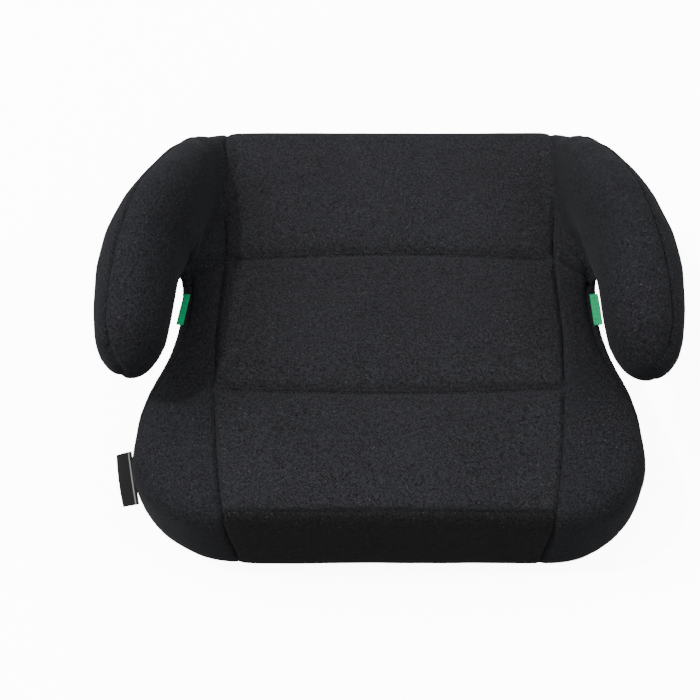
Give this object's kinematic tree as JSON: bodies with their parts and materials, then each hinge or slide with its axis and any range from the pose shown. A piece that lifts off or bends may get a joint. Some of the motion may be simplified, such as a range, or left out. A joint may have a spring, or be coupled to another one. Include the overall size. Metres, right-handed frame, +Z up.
{
  "type": "booster seat",
  "caption": "Backless car booster seat with two curved arms, a padded quilted cover over a hollow moulded shell, and ribbon belt marks under the arms.",
  "frame": {"origin": "on the car seat, under the middle of the booster's width and depth", "axes": "+X to the left hand of a seated child, -Y the way the child faces, +Z up"},
  "size_m": [0.43, 0.34, 0.2099],
  "materials": {
    "moulded_shell": "satin, finely grained",
    "foam": "matte open foam",
    "seat_cloth": "fine pebbled weave",
    "side_cloth": "fine pebbled weave",
    "hem_cloth": "plain weave",
    "elastic": "woven elastic",
    "green_ribbon": "ribbed weave",
    "tag_cloth": "woven satin",
    "label_film": "plain film",
    "hook_plastic": "satin"
  },
  "bodies": {
    "seat": {"seat_shell": "moulded_shell", "seat_foam": "foam", "left_side_foam": "foam", "right_side_foam": "foam", "rear_seat_panel": "seat_cloth", "middle_seat_panel": "seat_cloth", "front_seat_panel": "seat_cloth", "front_apron": "seat_cloth", "back_apron": "seat_cloth", "left_side_panel": "side_cloth", "right_side_panel": "side_cloth", "left_arm_band": "side_cloth", "right_arm_band": "side_cloth", "left_side_band": "side_cloth", "right_side_band": "side_cloth", "underside_hem": "hem_cloth", "hem_elastic": "elastic", "approval_label": "label_film", "cover_hook_front_left": "hook_plastic", "cover_hook_front_right": "hook_plastic", "cover_hook_back_left": "hook_plastic", "cover_hook_back_right": "hook_plastic", "cover_hook_side_left": "hook_plastic", "cover_hook_side_right": "hook_plastic", "elastic_strap_front_left": "elastic", "elastic_strap_front_right": "elastic", "elastic_strap_back_left": "elastic", "elastic_strap_back_right": "elastic", "elastic_strap_side_left": "elastic", "elastic_strap_side_right": "elastic"},
    "left_mark": {"left_belt_mark": "green_ribbon"},
    "right_mark": {"right_belt_mark": "green_ribbon"},
    "tag": {"side_tag": "tag_cloth"}
  },
  "joints": [
    {"name": "left_mark_fold", "type": "hinge", "parent": "seat", "child": "left_mark", "pos_m": [-0.1549, 0.0055, 0.1048], "axis": [0.0854, 0.9963, 0], "range_deg": [-25, 100], "stiffness_Nm_per_rad": 0.001},
    {"name": "right_mark_fold", "type": "hinge", "parent": "seat", "child": "right_mark", "pos_m": [0.1549, 0.0055, 0.1048], "axis": [-0.0854, 0.9963, 0], "range_deg": [-100, 25], "stiffness_Nm_per_rad": 0.001},
    {"name": "side_tag_fold", "type": "hinge", "parent": "seat", "child": "tag", "pos_m": [-0.1904, -0.119, 0.07], "axis": [-0.1908, 0.9816, 0], "range_deg": [-50, 50], "stiffness_Nm_per_rad": 0.001}
  ]
}
